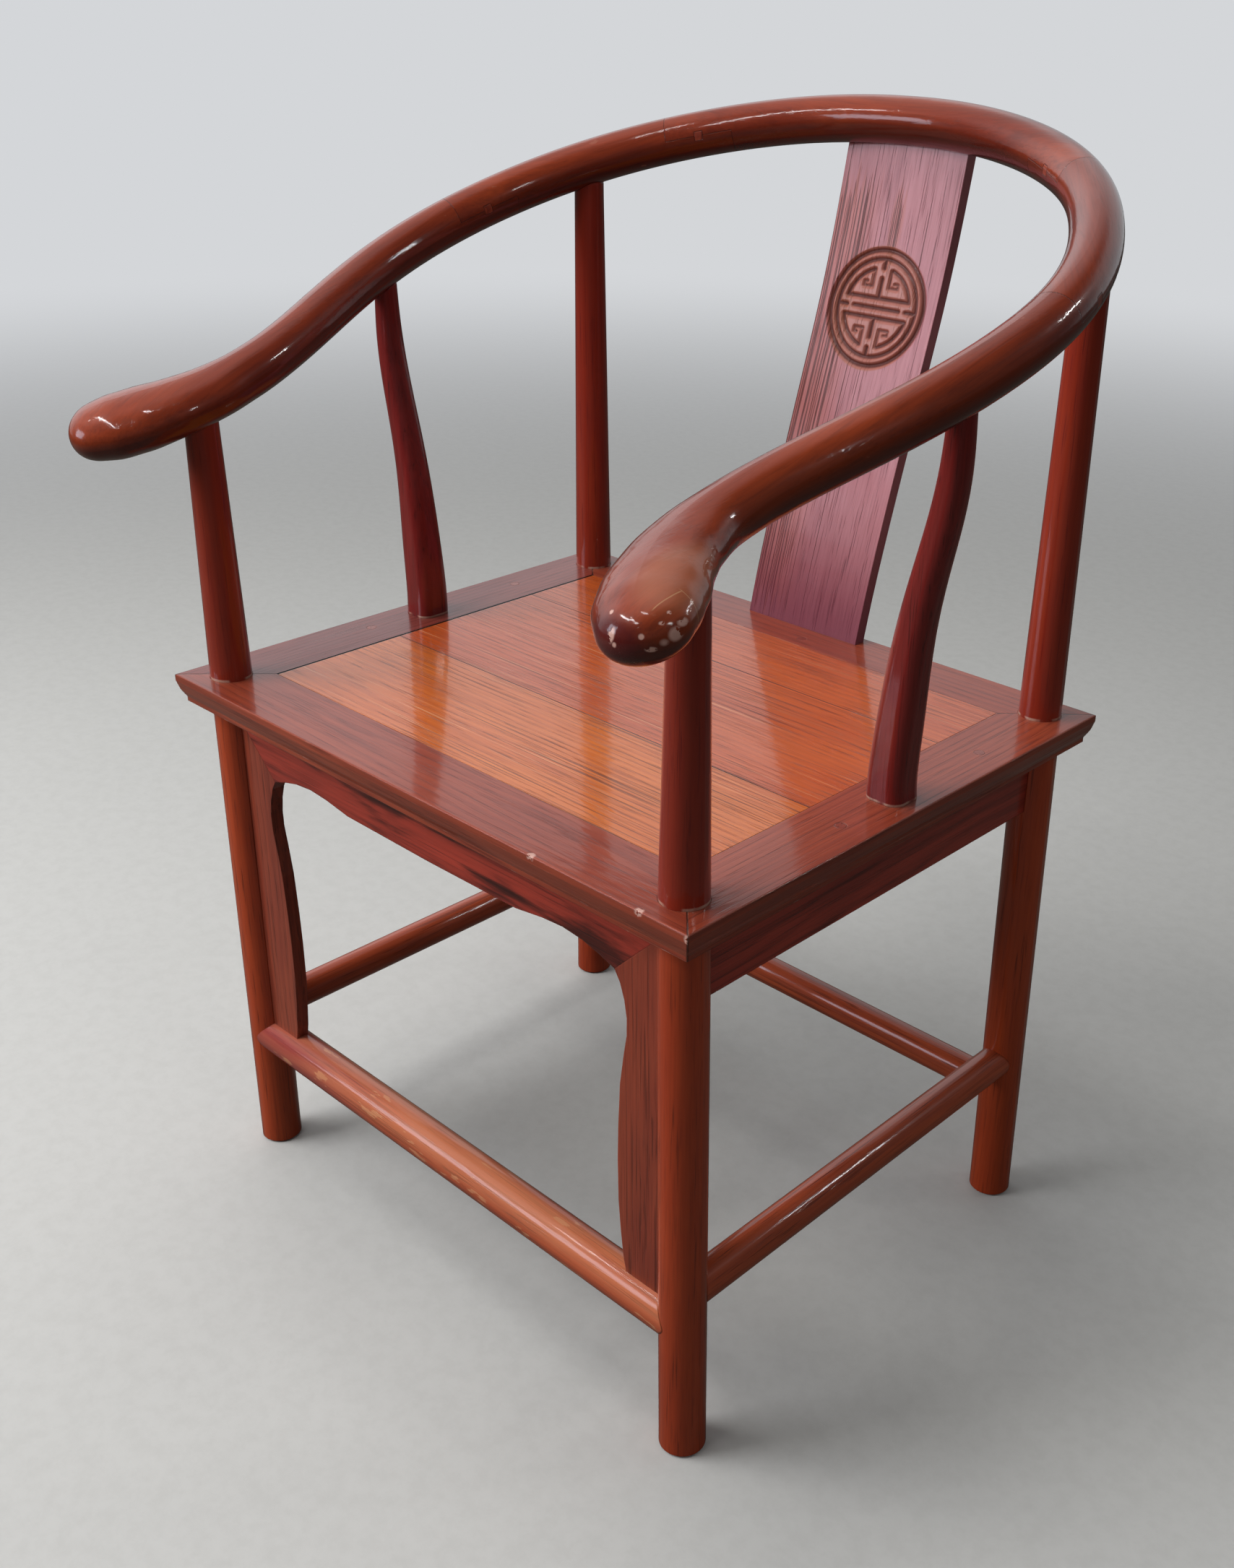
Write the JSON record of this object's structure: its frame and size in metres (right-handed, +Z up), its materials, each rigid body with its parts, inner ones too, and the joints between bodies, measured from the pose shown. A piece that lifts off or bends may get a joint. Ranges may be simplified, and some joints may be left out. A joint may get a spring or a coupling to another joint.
{
  "type": "horseshoe back armchair",
  "caption": "Wooden armchair with a continuous horseshoe crest rail, curved splat with a carved roundel, framed board seat and round legs joined by stretchers.",
  "frame": {"origin": "middle of the footprint of the whole chair, on the floor", "axes": "+Z up, the sitter faces -Y, +X is on the right of someone facing the front of the chair"},
  "size_m": [0.683, 0.6798, 0.961],
  "materials": {
    "crest_wood": "glossy red-brown lacquer over close-grained wood",
    "post_wood": "glossy deep red-brown lacquer",
    "frame_wood": "glossy red-brown lacquer, open grain",
    "seat_wood": "glossy orange-brown lacquer over strong open grain",
    "splat_wood": "glossy lacquer over strong vertical grain",
    "apron_wood": "satin red-brown lacquer with dark streaks",
    "stretcher_wood": "glossy red-brown lacquer",
    "batten_wood": "plain oiled wood",
    "peg_wood": "lacquered end grain"
  },
  "bodies": {
    "root": {"crest_back": "crest_wood", "crest_shoulder_left": "crest_wood", "crest_shoulder_right": "crest_wood", "crest_arm_left": "crest_wood", "crest_arm_right": "crest_wood", "leg_front_left": "post_wood", "leg_front_right": "post_wood", "leg_back_left": "post_wood", "leg_back_right": "post_wood", "side_post_left": "post_wood", "side_post_right": "post_wood", "seat_rail_front": "frame_wood", "seat_rail_back": "frame_wood", "seat_rail_left": "frame_wood", "seat_rail_right": "frame_wood", "seat_board_1": "seat_wood", "seat_board_2": "seat_wood", "seat_board_3": "seat_wood", "back_splat": "splat_wood", "apron_front": "apron_wood", "apron_left": "apron_wood", "apron_right": "apron_wood", "apron_back": "apron_wood", "spandrel_left": "apron_wood", "spandrel_right": "apron_wood", "stretcher_front": "stretcher_wood", "stretcher_left": "stretcher_wood", "stretcher_right": "stretcher_wood", "stretcher_back": "stretcher_wood", "batten_left": "batten_wood", "batten_right": "batten_wood", "crest_pins": "peg_wood", "seat_pegs": "peg_wood"}
  },
  "joints": []
}
